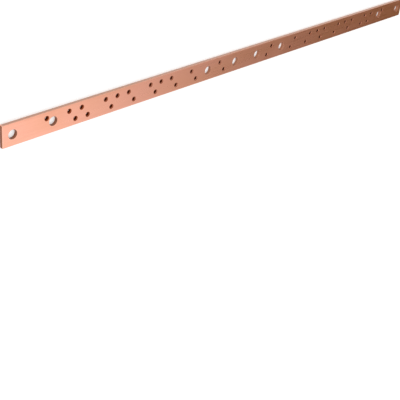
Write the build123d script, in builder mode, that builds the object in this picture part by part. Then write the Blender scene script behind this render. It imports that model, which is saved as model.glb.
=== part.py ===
"""Drilled and tapped flat copper busbar, lying on its underside.

Millimetres. X runs along the bar, Y across it and Z up, from the middle of the underside.
"""

import os

from build123d import *

# Flat bar
bar_length = 880.0
bar_width = 30.0
bar_thickness = 5.0
long_edge_radius = 0.5
end_chamfer = 0.3

# Bolt holes on the centre line: one pair at each end of the bar, and one pair each side of its middle
bolt_hole_diameter = 12.0
bolt_countersink_depth = 0.4
bolt_pair_spacing = 60.0
end_hole_inset = 15.0
middle_hole_offset = 25.0

# Screw holes for M6, drilled to the thread's core and countersunk where the screw enters
screw_core_diameter = 5.0
screw_countersink_depth = 0.7
screw_row_offset = 6.35
countersink_angle = 90.0

# Screw holes between and beside bolt holes
pair_screw_shift = 5.0
end_screw_shift = 10.0

# The other screw holes stand at stations counted from the middle of the bar
station_pitch = 20.0
far_row_stations = (6, 8, 9, 10, 12, 13, 14, 16, 17)
near_row_stations = (5.5, 7.5, 9.5, 11.5, 13.5, 15.5, 16.5)


def both_ways(distances, y):
    """Places at each distance from the middle of the bar, towards one end and the other."""
    return [(side * distance, y) for distance in distances for side in (-1, 1)]


half_length = bar_length / 2

outer_bolt = half_length - end_hole_inset
end_pair_inner_bolt = outer_bolt - bolt_pair_spacing
middle_pair_outer_bolt = middle_hole_offset + bolt_pair_spacing
bolt_distances = [middle_hole_offset, middle_pair_outer_bolt, end_pair_inner_bolt, outer_bolt]

# Between the two bolts of a middle pair, one screw of each row stands either side of halfway.
# At the end pair one screw of the far row stands next to the inner bolt.
middle_pair_halfway = (middle_hole_offset + middle_pair_outer_bolt) / 2
far_row_distances = [
    middle_pair_halfway + pair_screw_shift,
    *[station * station_pitch for station in far_row_stations],
    end_pair_inner_bolt + end_screw_shift,
]
near_row_distances = [
    middle_pair_halfway - pair_screw_shift,
    *[station * station_pitch for station in near_row_stations],
]

bolt_places = both_ways(bolt_distances, 0)
screw_places = both_ways(far_row_distances, screw_row_offset) + both_ways(near_row_distances, -screw_row_offset)


with BuildPart() as busbar:
    # Drawn section with rounded long edges, sawn to length, its cut ends deburred
    with BuildSketch(Plane.YZ.offset(-half_length)):
        with Locations((0, bar_thickness / 2)):
            RectangleRounded(bar_width, bar_thickness, long_edge_radius)
    extrude(amount=bar_length)
    chamfer(busbar.faces().filter_by(Axis.X).edges(), length=end_chamfer)

    with Locations(Plane.XY.offset(bar_thickness)):
        # Clearance holes for the joining bolts
        with Locations(*bolt_places):
            CounterSinkHole(
                radius=bolt_hole_diameter / 2,
                counter_sink_radius=bolt_hole_diameter / 2 + bolt_countersink_depth,
                counter_sink_angle=countersink_angle,
            )
        # Core holes of the screw threads
        with Locations(*screw_places):
            CounterSinkHole(
                radius=screw_core_diameter / 2,
                counter_sink_radius=screw_core_diameter / 2 + screw_countersink_depth,
                counter_sink_angle=countersink_angle,
            )

busbar.part.label = "busbar"

os.makedirs("parts", exist_ok=True)
export_step(busbar.part, "parts/busbar.step")
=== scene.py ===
"""Looks of a drilled and tapped copper busbar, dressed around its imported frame. Metres and degrees."""
import math

import bmesh
import bpy
from mathutils import Matrix, Vector


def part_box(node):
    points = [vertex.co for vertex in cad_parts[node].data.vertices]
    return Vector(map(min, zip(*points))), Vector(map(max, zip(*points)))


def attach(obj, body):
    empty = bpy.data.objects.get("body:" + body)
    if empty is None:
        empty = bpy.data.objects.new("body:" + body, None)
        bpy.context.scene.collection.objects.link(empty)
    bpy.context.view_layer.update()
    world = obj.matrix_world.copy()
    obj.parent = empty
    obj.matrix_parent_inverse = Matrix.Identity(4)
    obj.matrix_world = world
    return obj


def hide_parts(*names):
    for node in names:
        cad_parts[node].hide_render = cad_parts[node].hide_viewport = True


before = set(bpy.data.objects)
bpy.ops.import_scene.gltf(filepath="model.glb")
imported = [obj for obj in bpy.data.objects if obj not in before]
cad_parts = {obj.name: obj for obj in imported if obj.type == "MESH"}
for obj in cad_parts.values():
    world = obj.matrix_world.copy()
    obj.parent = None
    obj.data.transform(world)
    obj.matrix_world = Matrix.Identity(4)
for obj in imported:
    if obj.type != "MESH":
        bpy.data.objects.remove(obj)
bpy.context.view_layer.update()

bar_node = "busbar"
bar_low, bar_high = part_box(bar_node)
bar_length = bar_high.x - bar_low.x
bar_width = bar_high.y - bar_low.y
bar_thickness = bar_high.z - bar_low.z

mm = 0.001
weld_gap = 0.002 * mm
sharp_edge_angle = 35.0

# Finish of the blank, as it is drawn and sawn
long_edge_radius = 0.5 * mm
end_chamfer = 0.3 * mm
edge_arc_steps = 6
# A painted highlight: the faces are brightened in a band this wide along each end
end_highlight_band = 2.5 * mm

# Holes. Their radii are measured on the CAD node, and the two usual ones are only the groups' own values
usual_bolt_radius = 6.0 * mm
usual_screw_core = 2.5 * mm
largest_screw_core = 4.0 * mm
no_bore = -0.5
bolt_countersink = 0.4 * mm
bolt_under_countersink = 0.2 * mm
bolt_segments = 64
screw_countersink = 0.7 * mm
screw_under_countersink = 0.3 * mm
screw_segments = 42
mouth_ring_width = 0.7 * mm
bore_rubbing = 0.6

# M6 thread, cut outwards from the drilled core
thread_pitch = 1.0 * mm
thread_depth = 0.5 * mm
thread_flank_angle = 30.0
thread_root_share = 0.125
run_out_slope = 2.0

# Copper finishes, as colours under plain white light
fresh_copper = (0.92, 0.44, 0.30)
pinker_copper = (0.94, 0.45, 0.33)
# Rubbed edges and scratches, and the painted highlight along each end
rubbed_and_highlight_copper = (0.95, 0.55, 0.42)
tarnished_copper = (0.60, 0.24, 0.13)
# Bolt-hole walls, painted darker than cut copper as painted shade in the holes
drilled_copper_with_shade = (0.45, 0.21, 0.13)
# Screw-hole countersinks, painted dark as painted shade, and darker still towards the bar's left end
countersink_shade_copper = (0.25, 0.060, 0.018)
left_end_countersink_shade_copper = (0.17, 0.024, 0.005)
threaded_copper = (0.85, 0.38, 0.25)
# Threads towards the bar's left end are darker
left_end_thread_copper = (0.40, 0.080, 0.020)
# Dark copper for tarnish clouds, and for painted shade deep in the holes
tarnish_and_deep_shade_copper = (0.11, 0.016, 0.003)
stained_copper = (0.42, 0.09, 0.022)
# Painted shade on the long sides
side_shade_copper = (0.39, 0.255, 0.185)
# Sawn ends, painted dark as painted shade
sawn_end_shade_copper = (0.25, 0.10, 0.052)

# Roughness before marks and tarnish change it
drawn_roughness = 0.27
drilled_roughness = 0.24
tapped_roughness = 0.26
sawn_roughness = 0.36

# Marks on the drawn faces. Each run of scratches has its turn in radians, its length and its spacing
grain_length = 30 * mm
grain_width = 0.3 * mm
grain_depth = 0.0008 * mm
scratch_runs = ((0.12, 60 * mm, 1.2 * mm), (-0.3, 50 * mm, 1.6 * mm))
hue_drift_length = 90 * mm
hue_drift_width = 30 * mm

# Marks in the holes and on the sawn ends
drill_ring_spacing = 0.12 * mm
drill_ring_depth = 0.006 * mm
tap_ring_spacing = 0.06 * mm
tap_ring_depth = 0.003 * mm
saw_blade_radius = 120 * mm
saw_hub_offset = 30 * mm
saw_arc_spacing = 0.4 * mm
saw_arc_depth = 0.02 * mm

# Tarnish clouds, and the patches in which edges are rubbed bare
face_cloud = 50 * mm
bolt_hole_cloud = 6 * mm
screw_hole_cloud = 3 * mm
end_cloud = 10 * mm
edge_patch = 3 * mm
mouth_patch = 1 * mm

# Values of noise between which a pattern goes from nothing to its full strength
streak_range = (0.34, 0.66)
unbroken_range = (0.54, 0.62)
hue_drift_range = (0.35, 0.65)
tool_mark_range = (0.3, 0.7)

# How squarely a surface faces sideways where the painted shade of the long sides begins and is full
side_facing_range = (0.5, 0.95)

# Painted shade deep in the holes, by depth below the upper mouth; and places along the bar between which the
# holes and screw mouths go from darkest to not darkened
deep_shade_starts = 1.2 * mm
deep_shade_is_full = 1.8 * mm
darkest_up_to = -0.40
undarkened_from = 0.0

# Camera, held as the photograph shows the bar: it looks down along the bar from beyond its left end
camera_place = (-0.9616, 0.4774, 0.7469)
camera_aim = (-0.0690, -0.2254, 0.0050)
picture_up = (0.3214, 0.8496, -0.4181)
camera_lens = 77.0
nearest_seen = 10 * mm

# Studio
dome_top = (0.97, 0.97, 0.97)
dome_horizon = (0.78, 0.78, 0.78)
dome_full_height = 0.8
dim_side = (0.927, -0.203, 0.316)
dim_side_colour = (0.138, 0.076, 0.004)
dim_side_core = 16.2
dim_side_reach = 31.4
lamp_place = (-0.06, -0.96, 1.26)
lamp_size = 1.9
lamp_power = 2.4
floor_reach = 20.0
floor_colour = (0.92, 0.92, 0.92)
floor_glow = 0.28


def feed(tree, node, inputs):
    """Gives inputs of a node a value each, or a link from another node's socket."""
    for key, value in inputs.items():
        if isinstance(value, bpy.types.NodeSocket):
            tree.links.new(value, node.inputs[key])
        else:
            node.inputs[key].default_value = value


def put(tree, kind, inputs=(), **settings):
    """Adds a node, sets its properties and feeds its inputs."""
    node = tree.nodes.new(kind)
    for key, value in settings.items():
        setattr(node, key, value)
    feed(tree, node, dict(inputs))
    return node


def calc(tree, operation, *values):
    """One step of arithmetic on values or sockets."""
    return put(tree, "ShaderNodeMath", enumerate(values), operation=operation).outputs[0]


def summed(tree, base, *parts):
    """Adds parts to a base value, each times its weight."""
    total = base
    for value, weight in parts:
        total = calc(tree, "MULTIPLY_ADD", value, weight, total)
    return total


def part_of(tree, vector, axis):
    """How far a vector reaches along one axis."""
    return put(tree, "ShaderNodeSeparateXYZ", {0: vector}).outputs[axis]


def new_group(name, kind, takes, gives):
    """A node group with named inputs, each a socket type and a value, and named outputs.

    Gives the group, the sockets that bring its inputs and the sockets that take its outputs.
    """
    tree = bpy.data.node_groups.new(name, kind)
    for label, (socket_type, value) in takes.items():
        socket = tree.interface.new_socket(label, in_out="INPUT", socket_type=socket_type)
        if value is not None:
            socket.default_value = value
    for label, socket_type in gives.items():
        tree.interface.new_socket(label, in_out="OUTPUT", socket_type=socket_type)
    return tree, put(tree, "NodeGroupInput").outputs, put(tree, "NodeGroupOutput").inputs


number_socket = "NodeSocketFloat"
geometry_socket = "NodeSocketGeometry"
geometry_input = (geometry_socket, None)
vector_input = ("NodeSocketVector", None)


def number_input(value):
    return number_socket, value


def count_input(value):
    return "NodeSocketInt", value


def pick(tree, index, values):
    """The value at a whole-number index."""
    node = put(tree, "GeometryNodeIndexSwitch", data_type="FLOAT")
    while len(node.index_switch_items) < len(values):
        node.index_switch_items.new()
    feed(tree, node, {"Index": index})
    feed(tree, node, dict(enumerate(values, start=1)))
    return node.outputs[0]


def joined(tree, parts):
    node = put(tree, "GeometryNodeJoinGeometry")
    for part in parts:
        tree.links.new(part, node.inputs[0])
    return node.outputs[0]


def flat_shaded(tree, geometry):
    return put(tree, "GeometryNodeSetShadeSmooth", {0: geometry, "Shade Smooth": False}).outputs[0]


def of_material(tree, geometry, material, **selection):
    inputs = {"Geometry": geometry, "Material": material, **selection}
    return put(tree, "GeometryNodeSetMaterial", inputs).outputs[0]


def spread_over(tree, points, geometry):
    inputs = {"Points": points, "Instance": geometry}
    return put(tree, "GeometryNodeInstanceOnPoints", inputs).outputs[0]


def read_attribute(tree, name, kind):
    return put(tree, "GeometryNodeInputNamedAttribute", {"Name": name}, data_type=kind).outputs[0]


def keep_attribute(tree, geometry, name, value, kind="FLOAT"):
    inputs = {"Geometry": geometry, "Name": name, "Value": value}
    stored = put(tree, "GeometryNodeStoreNamedAttribute", inputs, data_type=kind, domain="POINT")
    return stored.outputs[0]


def keep_bore_place(tree, geometry):
    """Stores where each point lies from its hole's own axis, for tool marks that follow the hole."""
    here = put(tree, "GeometryNodeInputPosition").outputs[0]
    return keep_attribute(tree, geometry, "bore_place", here, "FLOAT_VECTOR")


def turned_grid(tree, segments, rows):
    """A grid to bend round an axis. Gives its mesh, and each point's share of a turn and row number."""
    columns = calc(tree, "ADD", segments, 1)
    sizes = {"Size X": 1.0, "Size Y": 1.0, "Vertices X": columns, "Vertices Y": rows}
    grid = put(tree, "GeometryNodeMeshGrid", sizes)
    place = put(tree, "ShaderNodeSeparateXYZ", {0: put(tree, "GeometryNodeInputPosition").outputs[0]}).outputs
    # The grid reaches half its size either way from the origin
    turn = calc(tree, "ADD", place["X"], 0.5)
    row = calc(tree, "MULTIPLY", calc(tree, "ADD", place["Y"], 0.5), calc(tree, "SUBTRACT", rows, 1))
    return grid.outputs["Mesh"], turn, calc(tree, "ROUND", row)


def bend_round(tree, mesh, turn, radius, height):
    """Sends each point of a turned grid to its radius and height, and closes the seam."""
    angle = calc(tree, "MULTIPLY", turn, math.tau)
    x = calc(tree, "MULTIPLY", radius, calc(tree, "COSINE", angle))
    y = calc(tree, "MULTIPLY", radius, calc(tree, "SINE", angle))
    place = put(tree, "ShaderNodeCombineXYZ", {"X": x, "Y": y, "Z": height})
    bent = put(tree, "GeometryNodeSetPosition", {"Geometry": mesh, "Position": place.outputs[0]})
    closed = put(tree, "GeometryNodeMergeByDistance", {"Geometry": bent.outputs[0], "Distance": weld_gap})
    return closed.outputs[0]


def tapped_wall_group():
    """Wall of one tapped hole: a helical thread with a countersink at each mouth."""
    tree, takes, end = new_group(
        "tapped_wall",
        "GeometryNodeTree",
        {
            "Core Radius": number_input(usual_screw_core),
            "Thread Depth": number_input(thread_depth),
            "Pitch": number_input(thread_pitch),
            "Thickness": number_input(bar_thickness),
            "Countersink": number_input(screw_countersink),
            "Under Countersink": number_input(screw_under_countersink),
            "Segments": count_input(screw_segments),
        },
        {"Wall": geometry_socket},
    )
    core, thickness, pitch = takes["Core Radius"], takes["Thickness"], takes["Pitch"]

    # One pitch of the profile, as places along it and shares of the depth: crest, flank, root and flank
    flank = thread_depth * math.tan(math.radians(thread_flank_angle)) / thread_pitch
    crest = 1.0 - 2 * flank - thread_root_share
    root_start = crest + flank
    root_end = root_start + thread_root_share
    profile = (
        (0.0, 0.0),
        (crest, 0.0),
        (crest + flank / 2, 0.5),
        (root_start, 1.0),
        (root_end, 1.0),
        (root_end + flank / 2, 0.5),
    )
    along, outward = zip(*profile)

    turns = calc(tree, "ADD", calc(tree, "CEIL", calc(tree, "DIVIDE", thickness, pitch)), 1)
    rows = calc(tree, "ADD", calc(tree, "MULTIPLY", turns, len(profile)), 1)
    mesh, turn, row = turned_grid(tree, takes["Segments"], rows)
    # Half a row is added, so that a row that starts a pitch never counts to the one below
    whole = calc(tree, "FLOOR", calc(tree, "DIVIDE", calc(tree, "ADD", row, 0.5), len(profile)))
    step = calc(tree, "SUBTRACT", row, calc(tree, "MULTIPLY", whole, len(profile)))

    climbed = calc(tree, "ADD", whole, pick(tree, step, along))
    climbed = calc(tree, "ADD", climbed, calc(tree, "SUBTRACT", turn, 1))
    height = calc(tree, "MAXIMUM", calc(tree, "MULTIPLY", climbed, pitch), 0)
    height = calc(tree, "MINIMUM", height, thickness)
    # The groove runs out towards both mouths, so that each mouth is round
    below_top = calc(tree, "SUBTRACT", thickness, height)
    room_under = calc(tree, "MULTIPLY_ADD", height, run_out_slope, takes["Under Countersink"])
    room_above = calc(tree, "MULTIPLY_ADD", below_top, run_out_slope, takes["Countersink"])
    groove = calc(tree, "MULTIPLY", pick(tree, step, outward), takes["Thread Depth"])
    groove = calc(tree, "MINIMUM", groove, calc(tree, "MINIMUM", room_under, room_above))
    thread = calc(tree, "ADD", core, groove)
    top_cone = calc(tree, "SUBTRACT", calc(tree, "ADD", core, takes["Countersink"]), below_top)
    under_cone = calc(tree, "SUBTRACT", calc(tree, "ADD", core, takes["Under Countersink"]), height)
    radius = calc(tree, "MAXIMUM", calc(tree, "MAXIMUM", thread, top_cone), under_cone)

    # The mask "rubbed" tells the cones from the thread, and oil is all over the wall
    on_cone = calc(tree, "GREATER_THAN", calc(tree, "MAXIMUM", top_cone, under_cone), thread)
    masked = keep_attribute(tree, keep_attribute(tree, mesh, "rubbed", on_cone), "oily", 1.0)
    wall = keep_bore_place(tree, bend_round(tree, masked, turn, radius, height))
    tree.links.new(wall, end["Wall"])
    return tree


def drilled_wall_group():
    """Wall of one plain drilled hole with a countersink at each mouth."""
    tree, takes, end = new_group(
        "drilled_wall",
        "GeometryNodeTree",
        {
            "Radius": number_input(usual_bolt_radius),
            "Thickness": number_input(bar_thickness),
            "Countersink": number_input(bolt_countersink),
            "Under Countersink": number_input(bolt_under_countersink),
            "Segments": count_input(bolt_segments),
        },
        {"Wall": geometry_socket},
    )
    bore, thickness = takes["Radius"], takes["Thickness"]
    under_mouth = calc(tree, "ADD", bore, takes["Under Countersink"])
    top_mouth = calc(tree, "ADD", bore, takes["Countersink"])
    cone_foot = calc(tree, "SUBTRACT", thickness, takes["Countersink"])
    # Radius, height and rubbing from the lower mouth up to the upper one
    profile = (
        (under_mouth, 0.0, 1.0),
        (bore, takes["Under Countersink"], bore_rubbing),
        (bore, cone_foot, bore_rubbing),
        (top_mouth, thickness, 1.0),
    )
    mesh, turn, row = turned_grid(tree, takes["Segments"], len(profile))
    radius, height, rubbing = (pick(tree, row, values) for values in zip(*profile))
    masked = keep_attribute(tree, mesh, "rubbed", rubbing)
    wall = keep_bore_place(tree, bend_round(tree, masked, turn, radius, height))
    tree.links.new(wall, end["Wall"])
    return tree


def mouth_ring_group():
    """Flat ring of the bar's face round a hole's mouth, with masks that fade from the mouth outwards."""
    tree, takes, end = new_group(
        "mouth_ring",
        "GeometryNodeTree",
        {
            "Mouth Radius": number_input(usual_bolt_radius + bolt_countersink),
            "Width": number_input(mouth_ring_width),
            "Height": number_input(0.0),
            "Segments": count_input(bolt_segments),
            "Oil": number_input(0.0),
        },
        {"Ring": geometry_socket},
    )
    # Row 0 lies on the mouth and row 1 at the ring's outer edge
    mesh, turn, row = turned_grid(tree, takes["Segments"], 2)
    radius = calc(tree, "MULTIPLY_ADD", row, takes["Width"], takes["Mouth Radius"])
    fading = calc(tree, "SUBTRACT", 1, row)
    masked = keep_attribute(tree, mesh, "rubbed", fading)
    masked = keep_attribute(tree, masked, "oily", calc(tree, "MULTIPLY", fading, takes["Oil"]))
    ring = keep_bore_place(tree, bend_round(tree, masked, turn, radius, takes["Height"]))
    tree.links.new(ring, end["Ring"])
    return tree


def placed(tree, group, points, inputs):
    """A group's geometry at each of the points."""
    single = put(tree, "GeometryNodeGroup", inputs, node_tree=group)
    return spread_over(tree, points, single.outputs[0])


def pierced_face(tree, outline, rims, height):
    """A flat face of the bar, open inside rims that are given as points, a radius and segments."""
    curves = [outline]
    for points, radius, segments in rims:
        rim = put(tree, "GeometryNodeCurvePrimitiveCircle", {"Resolution": segments, "Radius": radius})
        curves.append(spread_over(tree, points, rim.outputs["Curve"]))
    real = put(tree, "GeometryNodeRealizeInstances", {0: joined(tree, curves)}).outputs[0]
    filled = put(tree, "GeometryNodeFillCurve", {"Curve": real}).outputs[0]
    lift = put(tree, "ShaderNodeCombineXYZ", {"Z": height}).outputs[0]
    moved = put(tree, "GeometryNodeTransform", {"Geometry": filled, "Translation": lift}).outputs[0]
    return flat_shaded(tree, moved)


def drilling_tree(drawn, drilled, tapped, sawn):
    """Drills and taps the blank at the loose points that come with its shell.

    The shell gets walls and mouth rings at those points, and two flat faces that are pierced there.
    """
    tree, takes, end = new_group(
        "drilled_and_tapped_bar",
        "GeometryNodeTree",
        {
            "Geometry": geometry_input,
            "Length": number_input(bar_length),
            "Width": number_input(bar_width),
            "Thickness": number_input(bar_thickness),
            "Edge Radius": number_input(long_edge_radius),
            "End Chamfer": number_input(end_chamfer),
            "Bolt Radius": number_input(usual_bolt_radius),
            "Bolt Countersink": number_input(bolt_countersink),
            "Bolt Under Countersink": number_input(bolt_under_countersink),
            "Bolt Segments": count_input(bolt_segments),
            "Screw Core Radius": number_input(usual_screw_core),
            "Screw Countersink": number_input(screw_countersink),
            "Screw Under Countersink": number_input(screw_under_countersink),
            "Screw Segments": count_input(screw_segments),
            "Thread Depth": number_input(thread_depth),
            "Thread Pitch": number_input(thread_pitch),
            "Mouth Ring": number_input(mouth_ring_width),
        },
        {"Geometry": geometry_socket},
    )

    def bores(low, high):
        """The points whose bore lies between two radii."""
        bore = read_attribute(tree, "bore", "FLOAT")
        above = calc(tree, "GREATER_THAN", bore, low)
        inside = calc(tree, "MULTIPLY", above, calc(tree, "LESS_THAN", bore, high))
        parting = {"Geometry": takes["Geometry"], "Selection": inside}
        return put(tree, "GeometryNodeSeparateGeometry", parting, domain="POINT").outputs["Selection"]

    shell = bores(2 * no_bore, 0.0)
    screws = bores(0.0, largest_screw_core)
    bolts = bores(largest_screw_core, bar_width / 2)

    thickness = takes["Thickness"]
    tapped_walls = placed(
        tree,
        tapped_wall_group(),
        screws,
        {
            "Core Radius": takes["Screw Core Radius"],
            "Thread Depth": takes["Thread Depth"],
            "Pitch": takes["Thread Pitch"],
            "Thickness": thickness,
            "Countersink": takes["Screw Countersink"],
            "Under Countersink": takes["Screw Under Countersink"],
            "Segments": takes["Screw Segments"],
        },
    )
    drilled_walls = placed(
        tree,
        drilled_wall_group(),
        bolts,
        {
            "Radius": takes["Bolt Radius"],
            "Thickness": thickness,
            "Countersink": takes["Bolt Countersink"],
            "Under Countersink": takes["Bolt Under Countersink"],
            "Segments": takes["Bolt Segments"],
        },
    )

    flat_length = calc(tree, "SUBTRACT", takes["Length"], calc(tree, "MULTIPLY", takes["End Chamfer"], 2))
    flat_width = calc(tree, "SUBTRACT", takes["Width"], calc(tree, "MULTIPLY", takes["Edge Radius"], 2))
    flat_size = {"Width": flat_length, "Height": flat_width}
    outline = put(tree, "GeometryNodeCurvePrimitiveQuadrilateral", flat_size, mode="RECTANGLE").outputs[0]

    # Only the tapped holes' mouths carry oil
    kinds = (
        ("Bolt", bolts, takes["Bolt Radius"], 0.0),
        ("Screw", screws, takes["Screw Core Radius"], 1.0),
    )
    ring_group = mouth_ring_group()
    faces = []
    for side, height in (("", thickness), ("Under ", 0.0)):
        rims = []
        for kind, points, core, oil in kinds:
            mouth = calc(tree, "ADD", core, takes[f"{kind} {side}Countersink"])
            segments = takes[f"{kind} Segments"]
            ring = {
                "Mouth Radius": mouth,
                "Width": takes["Mouth Ring"],
                "Height": height,
                "Segments": segments,
                "Oil": oil,
            }
            rims.append((points, calc(tree, "ADD", mouth, takes["Mouth Ring"]), segments))
            faces.append(flat_shaded(tree, placed(tree, ring_group, points, ring)))
        faces.append(pierced_face(tree, outline, rims, height))

    dressed = [
        of_material(tree, joined(tree, [*faces, shell]), drawn),
        of_material(tree, drilled_walls, drilled),
        of_material(tree, tapped_walls, tapped),
    ]
    real = put(tree, "GeometryNodeRealizeInstances", {0: joined(tree, dressed)}).outputs[0]
    ends = read_attribute(tree, "sawn", "BOOLEAN")
    tree.links.new(of_material(tree, real, sawn, Selection=ends), end["Geometry"])
    return tree


def new_object(name, data):
    """An object of the scene that holds this data."""
    item = bpy.data.objects.new(name, data)
    bpy.context.scene.collection.objects.link(item)
    return item


def hole_rims():
    """Centre and radius of each hole, from the rims that it leaves in the underside of the CAD node."""
    mesh = bmesh.new()
    mesh.from_mesh(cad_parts[bar_node].data)
    bmesh.ops.remove_doubles(mesh, verts=mesh.verts, dist=weld_gap)
    underside = {f for f in mesh.faces if all(v.co.z < bar_low.z + weld_gap for v in f.verts)}
    # A dictionary keeps the edges' order, so that each run walks a rim from the same point
    rim_edges = {e: e.verts for e in mesh.edges if sum(f in underside for f in e.link_faces) == 1}
    rims = []
    while rim_edges:
        start, tip = rim_edges.popitem()[1]
        ring = [start.co.copy()]
        while tip is not start:
            ring.append(tip.co.copy())
            edge = next(e for e in tip.link_edges if e in rim_edges)
            rim_edges.pop(edge)
            tip = edge.other_vert(tip)
        centre = sum(ring, Vector()) / len(ring)
        reach = [(point - centre).length for point in ring]
        # The bar's own outline is a ring too, and wider than any hole
        if max(reach) < bar_width / 2:
            rims.append((centre, sum(reach) / len(reach)))
    mesh.free()
    return sorted(rims, key=lambda rim: tuple(rim[0]))


def section_ring(mesh, x, inset):
    """Points of the bar's rounded section at x, pulled in by inset, from the top face's far edge on."""
    half = bar_width / 2 - long_edge_radius
    radius = long_edge_radius - inset
    corners = (
        (half, bar_high.z - long_edge_radius, 90),
        (half, bar_low.z + long_edge_radius, 0),
        (-half, bar_low.z + long_edge_radius, -90),
        (-half, bar_high.z - long_edge_radius, -180),
    )
    ring = []
    for y, z, start in corners:
        for step in range(edge_arc_steps + 1):
            angle = math.radians(start - 90 * step / edge_arc_steps)
            ring.append(mesh.verts.new((x, y + radius * math.cos(angle), z + radius * math.sin(angle))))
    return ring


def blank_with_points(rims):
    """The sawn blank's shell, open at its two flat faces, and a loose point at each hole's centre."""
    mesh = bmesh.new()
    bore = mesh.verts.layers.float.new("bore")
    rubbed = mesh.verts.layers.float.new("rubbed")
    sawn = mesh.faces.layers.bool.new("sawn")
    half = bar_length / 2
    stations = (
        (-half, end_chamfer),
        (-half + end_chamfer, 0.0),
        (half - end_chamfer, 0.0),
        (half, end_chamfer),
    )
    rings = [section_ring(mesh, x, inset) for x, inset in stations]
    count = len(rings[0])
    corner_points = edge_arc_steps + 1
    # The underside follows the second corner and the top face the fourth, and both stay open
    open_spans = (2 * corner_points - 1, 4 * corner_points - 1)
    for number, (one, two) in enumerate(zip(rings, rings[1:])):
        between_chamfers = number == 1
        for place in range(count):
            if between_chamfers and place in open_spans:
                continue
            after = (place + 1) % count
            face = mesh.faces.new((one[place], one[after], two[after], two[place]))
            face.smooth = between_chamfers
    for end_ring in (rings[0], rings[-1]):
        mesh.faces.new(end_ring)[sawn] = True
    # A bore below zero tells the shell's points from the holes'
    for vert in mesh.verts:
        vert[bore] = no_bore
    # Rubbing is strongest halfway round each corner
    for ring in rings:
        for place, vert in enumerate(ring):
            step = place % corner_points
            vert[rubbed] = 1.0 - abs(step / edge_arc_steps * 2 - 1)
    for centre, radius in rims:
        mesh.verts.new((centre.x, centre.y, 0.0))[bore] = radius
    bmesh.ops.recalc_face_normals(mesh, faces=mesh.faces)
    blank = bpy.data.meshes.new("blank")
    mesh.to_mesh(blank)
    mesh.free()
    return blank


def set_inputs(modifier, values):
    """Sets a Geometry Nodes modifier's inputs by their labels."""
    for socket in modifier.node_group.interface.items_tree:
        if socket.in_out == "INPUT" and socket.name in values:
            modifier[socket.identifier] = values[socket.name]


def make_bar(drawn, drilled, tapped, sawn):
    """The finished bar as one closed mesh."""
    rims = hole_rims()
    raw = new_object("blank", blank_with_points(rims))
    modifier = raw.modifiers.new("drilling", "NODES")
    modifier.node_group = drilling_tree(drawn, drilled, tapped, sawn)
    bolt_radii = [radius for _, radius in rims if radius > largest_screw_core]
    screw_radii = [radius for _, radius in rims if radius <= largest_screw_core]
    set_inputs(
        modifier,
        {
            "Bolt Radius": sum(bolt_radii) / len(bolt_radii),
            "Screw Core Radius": sum(screw_radii) / len(screw_radii),
        },
    )
    seen = bpy.context.evaluated_depsgraph_get()
    made = bpy.data.meshes.new_from_object(raw.evaluated_get(seen))
    bpy.data.objects.remove(raw)

    solid = bmesh.new()
    solid.from_mesh(made)
    bmesh.ops.remove_doubles(solid, verts=solid.verts, dist=weld_gap)
    bmesh.ops.recalc_face_normals(solid, faces=solid.faces)
    solid.to_mesh(made)
    solid.free()
    made.set_sharp_from_angle(angle=math.radians(sharp_edge_angle))
    for name in ("bore", "sawn"):
        made.attributes.remove(made.attributes[name])
    for place in reversed(range(len(made.materials))):
        if made.materials[place] is None:
            made.materials.pop(index=place)
    made.name = "copper_bar"
    return new_object("copper_bar", made)


def mixed(tree, factor, one, other):
    """Goes from one colour to the other. The socket numbers are those of a mix of colours."""
    first, second = (c if isinstance(c, bpy.types.NodeSocket) else (*c, 1.0) for c in (one, other))
    return put(tree, "ShaderNodeMix", {0: factor, 6: first, 7: second}, data_type="RGBA").outputs[2]


def layered(tree, base, *layers):
    """Lays colours over a base one after another, each by a mask and the mask's strength."""
    colour = base
    for mask, strength, top in layers:
        colour = mixed(tree, calc(tree, "MULTIPLY", mask, strength), colour, top)
    return colour


def noise(tree, place, detail, roughness=0.5):
    inputs = {"Vector": place, "Scale": 1.0, "Detail": detail, "Roughness": roughness}
    return put(tree, "ShaderNodeTexNoise", inputs).outputs[0]


def around_zero(tree, noise_value):
    """Noise lies around a half, so this moves it down to lie around zero."""
    return calc(tree, "SUBTRACT", noise_value, 0.5)


def spread_out(tree, value, low, high):
    """Smoothly 0 below low and 1 above high."""
    inputs = {"Value": value, "From Min": low, "From Max": high}
    return put(tree, "ShaderNodeMapRange", inputs, interpolation_type="SMOOTHSTEP").outputs[0]


def counted(tree, place, x, y, z):
    """A place counted in steps of the given lengths."""
    steps = put(tree, "ShaderNodeCombineXYZ", {0: x, 1: y, 2: z}).outputs[0]
    return put(tree, "ShaderNodeVectorMath", {0: place, 1: steps}, operation="DIVIDE").outputs[0]


def drawn_grain_group():
    """Fine streaks that the drawing die leaves along the bar, on top of broader ones."""
    tree, takes, end = new_group(
        "drawn_grain",
        "ShaderNodeTree",
        {"Place": vector_input, "Length": number_input(grain_length), "Width": number_input(grain_width)},
        {"Streaks": number_socket},
    )
    place, length, width = takes["Place"], takes["Length"], takes["Width"]
    fine = noise(tree, counted(tree, place, length, width, width), detail=3)
    broad_length = calc(tree, "MULTIPLY", length, 3)
    broad_width = calc(tree, "MULTIPLY", width, 7)
    broad = noise(tree, counted(tree, place, broad_length, broad_width, broad_width), detail=2)
    both = summed(tree, 0.0, (broad, 0.45), (fine, 0.55))
    tree.links.new(spread_out(tree, both, *streak_range), end["Streaks"])
    return tree


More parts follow.
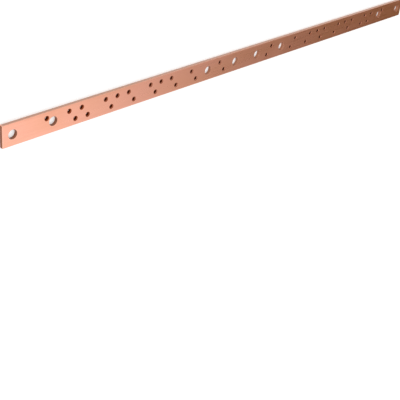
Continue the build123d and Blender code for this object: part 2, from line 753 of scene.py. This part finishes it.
def hairline_group():
    """Thin broken scratches that run mostly one way, from handling."""
    tree, takes, end = new_group(
        "hairline_scratches",
        "ShaderNodeTree",
        {
            "Place": vector_input,
            "Turn": number_input(0.3),
            "Length": number_input(20 * mm),
            "Spacing": number_input(3 * mm),
            "Thinness": number_input(0.012),
        },
        {"Scratches": number_socket},
    )
    turning = {"Vector": takes["Place"], "Angle": takes["Turn"]}
    turned = put(tree, "ShaderNodeVectorRotate", turning, rotation_type="Z_AXIS").outputs[0]
    length, spacing = takes["Length"], takes["Spacing"]
    # A scratch runs where smooth noise crosses its middle value, and broader noise breaks it up
    rolling = noise(tree, counted(tree, turned, length, spacing, spacing), detail=0)
    away = calc(tree, "ABSOLUTE", around_zero(tree, rolling))
    lines = calc(tree, "SUBTRACT", 1, spread_out(tree, away, 0, takes["Thinness"]))
    break_width = calc(tree, "MULTIPLY", spacing, 2)
    breaks = noise(tree, counted(tree, turned, length, break_width, break_width), detail=1)
    unbroken = spread_out(tree, breaks, *unbroken_range)
    tree.links.new(calc(tree, "MULTIPLY", lines, unbroken), end["Scratches"])
    return tree


def tarnish_group():
    """Soft clouds of tarnish with fine specks in them."""
    tree, takes, end = new_group(
        "tarnish",
        "ShaderNodeTree",
        {
            "Place": vector_input,
            "Size": number_input(face_cloud),
            "Cover": number_input(0.5),
            "Softness": number_input(0.3),
        },
        {"Tarnish": number_socket},
    )
    place, size = takes["Place"], takes["Size"]
    clouds = noise(tree, counted(tree, place, size, size, size), detail=5, roughness=0.55)
    speck_size = calc(tree, "MULTIPLY", size, 0.03)
    specks = noise(tree, counted(tree, place, speck_size, speck_size, speck_size), detail=2)
    speckled = summed(tree, clouds, (around_zero(tree, specks), 0.2))
    # The more cover, the lower the value at which tarnish starts
    start = summed(tree, 0.7, (takes["Cover"], -0.4))
    full = calc(tree, "ADD", start, takes["Softness"])
    tree.links.new(spread_out(tree, speckled, start, full), end["Tarnish"])
    return tree


def rubbing_group():
    """Patchy bright rubbing along edges, from a mask that is 1 on the edge."""
    tree, takes, end = new_group(
        "edge_rubbing",
        "ShaderNodeTree",
        {
            "Edge": number_input(0.0),
            "Place": vector_input,
            "Reach": number_input(0.6),
            "Patch": number_input(edge_patch),
        },
        {"Rubbing": number_socket},
    )
    edge, patch = takes["Edge"], takes["Patch"]
    patch_length = calc(tree, "MULTIPLY", patch, 3)
    patches = noise(
        tree, counted(tree, takes["Place"], patch_length, patch, patch), detail=4, roughness=0.6
    )
    uneven = summed(tree, edge, (around_zero(tree, patches), 0.7))
    bare = spread_out(tree, uneven, calc(tree, "SUBTRACT", 1, takes["Reach"]), 1)
    # Patches stay off the faces, where the mask is 0
    near_edge = calc(tree, "GREATER_THAN", edge, 0.001)
    tree.links.new(calc(tree, "MULTIPLY", bare, near_edge), end["Rubbing"])
    return tree


def cutter_group():
    """Fine rings that a drill or a countersink leaves round a hole's axis."""
    tree, takes, end = new_group(
        "cutter_rings",
        "ShaderNodeTree",
        {"Bore Place": vector_input, "Spacing": number_input(drill_ring_spacing)},
        {"Rings": number_socket},
    )
    place = put(tree, "ShaderNodeSeparateXYZ", {0: takes["Bore Place"]}).outputs
    flat = put(tree, "ShaderNodeCombineXYZ", {0: place["X"], 1: place["Y"]}).outputs[0]
    radius = put(tree, "ShaderNodeVectorMath", {0: flat}, operation="LENGTH").outputs["Value"]
    run = calc(tree, "DIVIDE", calc(tree, "ADD", radius, place["Z"]), takes["Spacing"])
    # A ring changes slowly on its way round
    round_step = calc(tree, "MULTIPLY", takes["Spacing"], 25)
    across = calc(tree, "DIVIDE", place["X"], round_step)
    up = calc(tree, "DIVIDE", place["Y"], round_step)
    spot = put(tree, "ShaderNodeCombineXYZ", {0: run, 1: across, 2: up}).outputs[0]
    marks = noise(tree, spot, detail=3, roughness=0.7)
    tree.links.new(spread_out(tree, marks, *tool_mark_range), end["Rings"])
    return tree


def depth_group():
    """How deep a place lies below its hole's upper mouth: 0 down to the start, and 1 from full on."""
    tree, takes, end = new_group(
        "hole_depth",
        "ShaderNodeTree",
        {
            "Bore Place": vector_input,
            "Thickness": number_input(bar_thickness),
            "Start": number_input(deep_shade_starts),
            "Full": number_input(deep_shade_is_full),
        },
        {"Depth": number_socket},
    )
    below = calc(tree, "SUBTRACT", takes["Thickness"], part_of(tree, takes["Bore Place"], "Z"))
    tree.links.new(spread_out(tree, below, takes["Start"], takes["Full"]), end["Depth"])
    return tree


def left_end_darkening_group():
    """Darkening in and round the holes: 1 towards the bar's left end, and 0 from the undarkened part on."""
    tree, takes, end = new_group(
        "hole_darkening",
        "ShaderNodeTree",
        {"Place": vector_input, "Darkest": number_input(darkest_up_to), "Undarkened": number_input(undarkened_from)},
        {"Darkening": number_socket},
    )
    undarkened_share = spread_out(tree, part_of(tree, takes["Place"], "X"), takes["Darkest"], takes["Undarkened"])
    tree.links.new(calc(tree, "SUBTRACT", 1, undarkened_share), end["Darkening"])
    return tree


def saw_group():
    """Arcs that a circular saw blade leaves across the bar's ends."""
    tree, takes, end = new_group(
        "saw_arcs",
        "ShaderNodeTree",
        {
            "Place": vector_input,
            "Blade Radius": number_input(saw_blade_radius),
            "Spacing": number_input(saw_arc_spacing),
        },
        {"Arcs": number_socket},
    )
    place = put(tree, "ShaderNodeSeparateXYZ", {0: takes["Place"]}).outputs
    aside = calc(tree, "ADD", place["Y"], saw_hub_offset)
    below_hub = calc(tree, "SUBTRACT", place["Z"], takes["Blade Radius"])
    from_hub = put(tree, "ShaderNodeCombineXYZ", {0: aside, 1: below_hub}).outputs[0]
    reach = put(tree, "ShaderNodeVectorMath", {0: from_hub}, operation="LENGTH").outputs["Value"]
    run = calc(tree, "DIVIDE", reach, takes["Spacing"])
    # An arc changes 60 times a metre on its way across the bar, far more slowly than from arc to arc
    slow = calc(tree, "MULTIPLY", place["Y"], 60)
    spot = put(tree, "ShaderNodeCombineXYZ", {0: run, 1: slow, 2: place["X"]}).outputs[0]
    marks = noise(tree, spot, detail=3, roughness=0.65)
    tree.links.new(spread_out(tree, marks, *tool_mark_range), end["Arcs"])
    return tree


def attribute(tree, name, output):
    return put(tree, "ShaderNodeAttribute", attribute_name=name, attribute_type="GEOMETRY").outputs[output]


def by_group(tree, group, **inputs):
    """A shader group in a material's tree, its inputs named in small letters. Gives its first output."""
    labels = {key.replace("_", " ").title(): value for key, value in inputs.items()}
    return put(tree, "ShaderNodeGroup", labels, node_tree=group).outputs[0]


def new_copper(name):
    """A bare metal material. Gives it, its tree and the place on the bar."""
    material = bpy.data.materials.new(name)
    material.use_nodes = True
    tree = material.node_tree
    tree.nodes["Principled BSDF"].inputs["Metallic"].default_value = 1.0
    return material, tree, put(tree, "ShaderNodeTexCoord").outputs["Object"]


def finish_copper(tree, colour, roughness, height, depth):
    """Feeds a bare metal material. Depth is how far the height's full range reaches."""
    bump = put(tree, "ShaderNodeBump", {"Height": height, "Distance": depth, "Strength": 1.0}).outputs[0]
    feed(tree, tree.nodes["Principled BSDF"], {"Base Color": colour, "Roughness": roughness, "Normal": bump})


def drawn_finish(effects):
    """Drawn faces and sides: streaked, scratched and tarnished, rubbed at edges and stained at mouths, with
    painted shade on the long sides and a painted highlight along each end.
    """
    material, tree, place = new_copper("drawn_copper")
    streaks = by_group(tree, effects["grain"], place=place, length=grain_length, width=grain_width)
    runs = [
        by_group(tree, effects["hairlines"], place=place, turn=turn, length=length, spacing=spacing)
        for turn, length, spacing in scratch_runs
    ]
    scratches = calc(tree, "MAXIMUM", *runs)
    clouds = by_group(tree, effects["tarnish"], place=place, size=face_cloud, cover=0.5, softness=0.35)
    edge = attribute(tree, "rubbed", "Fac")
    rubbed = by_group(tree, effects["rubbing"], edge=edge, place=place, reach=0.7, patch=edge_patch)
    # Painted highlight: the faces are brightened along each end
    from_middle = calc(tree, "ABSOLUTE", part_of(tree, place, "X"))
    end_highlight = spread_out(tree, from_middle, bar_length / 2 - end_highlight_band, bar_length / 2)
    rubbed_and_highlight = calc(tree, "MAXIMUM", rubbed, end_highlight)
    rubbed_and_highlight = calc(tree, "MAXIMUM", rubbed_and_highlight, calc(tree, "MULTIPLY", scratches, 0.25))
    normal = put(tree, "ShaderNodeTexCoord").outputs["Normal"]
    sideways = calc(tree, "ABSOLUTE", part_of(tree, normal, "Y"))
    # Painted shade: the long sides are painted darker
    on_side = spread_out(tree, sideways, *side_facing_range)
    drift = noise(tree, counted(tree, place, hue_drift_length, hue_drift_width, hue_drift_width), detail=1)
    hue = mixed(tree, spread_out(tree, drift, *hue_drift_range), fresh_copper, pinker_copper)
    dulled = summed(tree, 0.0, (clouds, 0.14), (streaks, 0.06))
    # Towards the bar's right end, where the darkening has gone, the mouths keep a fifth of the stain
    left_darkening = summed(tree, 0.2, (by_group(tree, effects["darkening"], place=place), 0.8))
    stained = calc(tree, "MULTIPLY", spread_out(tree, attribute(tree, "oily", "Fac"), 0, 0.9), left_darkening)
    colour = layered(
        tree,
        hue,
        (dulled, 1.0, tarnished_copper),
        (on_side, 0.75, side_shade_copper),
        (rubbed_and_highlight, 0.6, rubbed_and_highlight_copper),
        (stained, 1.0, stained_copper),
    )
    roughness = summed(
        tree, drawn_roughness, (clouds, 0.06), (streaks, 0.05), (scratches, 0.06), (rubbed, -0.05)
    )
    height = summed(tree, streaks, (scratches, -0.3))
    finish_copper(tree, colour, roughness, height, grain_depth)
    return material


def drilled_finish(effects):
    """Walls of the bolt holes: fine drill rings, on copper painted darker as painted shade in the hole,
    darker still low down as more painted shade, and darker towards the bar's left end.
    """
    material, tree, place = new_copper("drilled_copper_with_shade")
    bore_place = attribute(tree, "bore_place", "Vector")
    rings = by_group(tree, effects["cutter"], bore_place=bore_place, spacing=drill_ring_spacing)
    clouds = by_group(tree, effects["tarnish"], place=place, size=bolt_hole_cloud, cover=0.5, softness=0.3)
    edge = attribute(tree, "rubbed", "Fac")
    rubbed = by_group(tree, effects["rubbing"], edge=edge, place=place, reach=0.3, patch=mouth_patch)
    deep = by_group(tree, effects["depth"], bore_place=bore_place)
    left_darkening = by_group(tree, effects["darkening"], place=place)
    # Tarnish clouds, painted shade deeper in the hole, and darkening towards the bar's left end
    dulled = summed(tree, 0.0, (clouds, 0.15), (deep, 0.12), (left_darkening, 0.45))
    colour = layered(
        tree,
        drilled_copper_with_shade,
        (dulled, 1.0, tarnish_and_deep_shade_copper),
        (rings, 0.2, tarnished_copper),
        (rubbed, 0.55, fresh_copper),
    )
    finish_copper(tree, colour, summed(tree, drilled_roughness, (rings, 0.12)), rings, drill_ring_depth)
    return material


def tapped_finish(effects):
    """Walls of the screw holes: a thread painted darker low down as painted shade, between countersunk cones
    painted dark as painted shade, all darker towards the bar's left end.
    """
    material, tree, place = new_copper("tapped_copper")
    bore_place = attribute(tree, "bore_place", "Vector")
    rings = by_group(tree, effects["cutter"], bore_place=bore_place, spacing=tap_ring_spacing)
    clouds = by_group(tree, effects["tarnish"], place=place, size=screw_hole_cloud, cover=0.6, softness=0.3)
    edge = attribute(tree, "rubbed", "Fac")
    on_cone = by_group(tree, effects["rubbing"], edge=edge, place=place, reach=0.4, patch=mouth_patch)
    deep = by_group(tree, effects["depth"], bore_place=bore_place)
    # Painted shade deeper in the hole, with tarnish clouds
    deep_shade_and_tarnish = summed(tree, deep, (clouds, 0.15))
    # The thread and its countersinks are darker towards the bar's left end
    left_darkening = by_group(tree, effects["darkening"], place=place)
    thread = mixed(tree, left_darkening, threaded_copper, left_end_thread_copper)
    # Painted shade: the countersinks are painted dark
    cone = mixed(tree, left_darkening, countersink_shade_copper, left_end_countersink_shade_copper)
    colour = layered(tree, thread, (deep_shade_and_tarnish, 1.0, tarnish_and_deep_shade_copper), (on_cone, 1.0, cone))
    finish_copper(tree, colour, summed(tree, tapped_roughness, (rings, 0.15)), rings, tap_ring_depth)
    return material


def sawn_finish(effects):
    """The bar's two cut ends, painted darker as painted shade."""
    material, tree, place = new_copper("sawn_copper")
    arcs = by_group(
        tree, effects["saw"], place=place, blade_radius=saw_blade_radius, spacing=saw_arc_spacing
    )
    clouds = by_group(tree, effects["tarnish"], place=place, size=end_cloud, cover=0.5, softness=0.3)
    colour = layered(tree, sawn_end_shade_copper, (clouds, 0.15, tarnish_and_deep_shade_copper), (arcs, 0.3, tarnished_copper))
    finish_copper(tree, colour, summed(tree, sawn_roughness, (arcs, 0.12)), arcs, saw_arc_depth)
    return material


def make_materials():
    """Drawn, drilled, tapped and sawn copper, which share the groups that make their effects."""
    effects = {
        "grain": drawn_grain_group(),
        "hairlines": hairline_group(),
        "tarnish": tarnish_group(),
        "rubbing": rubbing_group(),
        "cutter": cutter_group(),
        "depth": depth_group(),
        "darkening": left_end_darkening_group(),
        "saw": saw_group(),
    }
    return drawn_finish(effects), drilled_finish(effects), tapped_finish(effects), sawn_finish(effects)


def make_floor():
    """A wide pale floor, whose faint glow as it is looked at keeps it white round the bar's shadow."""
    far = floor_reach
    mesh = bpy.data.meshes.new("studio_floor")
    corners = [(-far, -far, 0), (far, -far, 0), (far, far, 0), (-far, far, 0)]
    mesh.from_pydata(corners, [], [(0, 1, 2, 3)])
    floor = new_object("studio_floor", mesh)

    material = bpy.data.materials.new("studio_floor")
    material.use_nodes = True
    tree = material.node_tree
    ray = put(tree, "ShaderNodeLightPath").outputs
    looked_at = calc(tree, "MAXIMUM", ray["Is Camera Ray"], ray["Is Glossy Ray"])
    looked_at = calc(tree, "MAXIMUM", looked_at, ray["Is Transmission Ray"])
    feed(
        tree,
        tree.nodes["Principled BSDF"],
        {
            "Base Color": (*floor_colour, 1.0),
            "Roughness": 1.0,
            "Specular IOR Level": 0.0,
            "Emission Color": (1.0, 1.0, 1.0, 1.0),
            "Emission Strength": calc(tree, "MULTIPLY", looked_at, floor_glow),
        },
    )
    mesh.materials.append(material)


def make_world():
    """A pale studio dome with one dim warm side, which the bar's face mirrors more towards its far end."""
    world = bpy.data.worlds.new("studio_dome")
    world.use_nodes = True
    tree = world.node_tree
    tree.nodes.clear()
    sky = put(tree, "ShaderNodeTexCoord").outputs["Generated"]
    rise = spread_out(tree, part_of(tree, sky, "Z"), 0.0, dome_full_height)
    dome = mixed(tree, rise, dome_horizon, dome_top)
    directions = {0: sky, 1: Vector(dim_side).normalized()}
    towards = put(tree, "ShaderNodeVectorMath", directions, operation="DOT_PRODUCT").outputs["Value"]
    outside, inside = (math.cos(math.radians(angle)) for angle in (dim_side_reach, dim_side_core))
    colour = mixed(tree, spread_out(tree, towards, outside, inside), dome, dim_side_colour)
    back = put(tree, "ShaderNodeBackground", {"Color": colour, "Strength": 1.0})
    put(tree, "ShaderNodeOutputWorld", {"Surface": back.outputs[0]})
    bpy.context.scene.world = world


def make_lamp():
    """One large soft lamp on the side that the bar's lower edge in the picture faces."""
    lamp = bpy.data.lights.new("soft_lamp", "AREA")
    lamp.shape = "DISK"
    lamp.size = lamp_size
    lamp.energy = lamp_power
    standing = new_object("soft_lamp", lamp)
    standing.location = Vector(lamp_place)
    standing.rotation_euler = (-Vector(lamp_place)).to_track_quat("-Z", "Y").to_euler()


def make_camera():
    """Looks at the aim point with the picture's upward direction given."""
    place, up = Vector(camera_place), Vector(picture_up)
    back = (place - Vector(camera_aim)).normalized()
    right = up.cross(back).normalized()
    true_up = back.cross(right)
    camera = new_object("camera", bpy.data.cameras.new("camera"))
    camera.data.lens = camera_lens
    camera.data.clip_start = nearest_seen
    turn = Matrix((right, true_up, back)).transposed().to_4x4()
    camera.matrix_world = Matrix.Translation(place) @ turn
    bpy.context.scene.camera = camera


bar = make_bar(*make_materials())
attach(bar, "root")
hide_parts(bar_node)

make_floor()
make_world()
make_lamp()
make_camera()
bpy.context.scene.view_settings.view_transform = "Standard"
